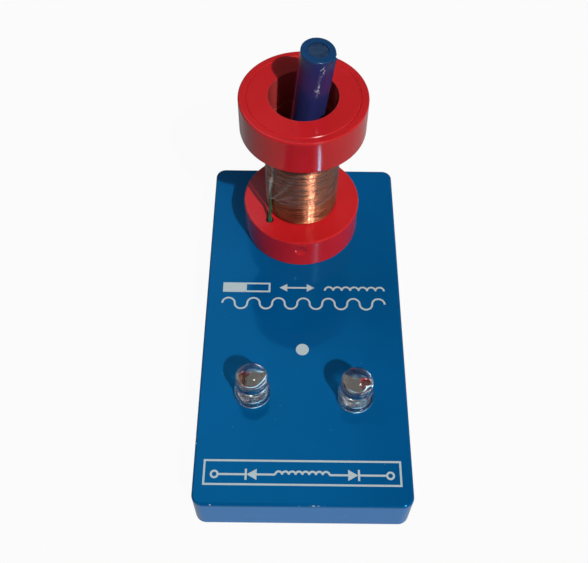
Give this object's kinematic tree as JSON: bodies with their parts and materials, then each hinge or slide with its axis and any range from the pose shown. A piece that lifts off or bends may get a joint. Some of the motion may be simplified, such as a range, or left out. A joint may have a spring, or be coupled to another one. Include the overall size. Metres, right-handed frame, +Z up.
{
  "type": "induced current apparatus",
  "caption": "Flat base with an upright wound spool and clear light emitters; a sleeved magnet is moved up and down in the spool's bore to light them.",
  "frame": {"origin": "middle of the base's underside", "axes": "+Z up along the spool's axis, -Y towards the front where the light emitters are, +X to the right"},
  "size_m": [0.065, 0.128, 0.0953],
  "materials": {
    "blue_housing": "gloss blue",
    "black_cover": "matt black",
    "steel": "zinc plated",
    "red_plastic": "gloss red",
    "enamelled_copper": "enamelled copper wire",
    "clear_tape": "clear adhesive tape",
    "green_lead": "green insulation",
    "red_lead": "red insulation",
    "black_lead": "black insulation",
    "solder": "bright solder",
    "clear_lens": "water-clear epoxy",
    "lead_frame": "silver plated",
    "chip": "matt",
    "magnet_steel": "bare magnet alloy",
    "film_sleeve": "shrunk blue film"
  },
  "bodies": {
    "stand": {"base_housing": "blue_housing", "bottom_cover": "black_cover", "cover_screws": "steel", "flange_lower": "red_plastic", "spool_tube": "red_plastic", "flange_upper": "red_plastic", "spool_screws": "steel", "winding_core": "enamelled_copper", "winding_wire": "enamelled_copper", "tape_wrap": "clear_tape", "lead_start": "green_lead", "lead_finish": "green_lead", "led_left_lens": "clear_lens", "led_left_anode": "lead_frame", "led_left_cathode": "lead_frame", "led_left_chip": "chip", "led_right_lens": "clear_lens", "led_right_anode": "lead_frame", "led_right_cathode": "lead_frame", "led_right_chip": "chip", "jumper_front": "red_lead", "jumper_back": "black_lead", "solder_joints": "solder"},
    "magnet": {"magnet_rod": "magnet_steel", "magnet_sleeve": "film_sleeve"}
  },
  "joints": [
    {"name": "magnet_slide", "type": "slide", "parent": "stand", "child": "magnet", "axis": [0, 0, 1], "range_m": [0, 0.065]}
  ]
}
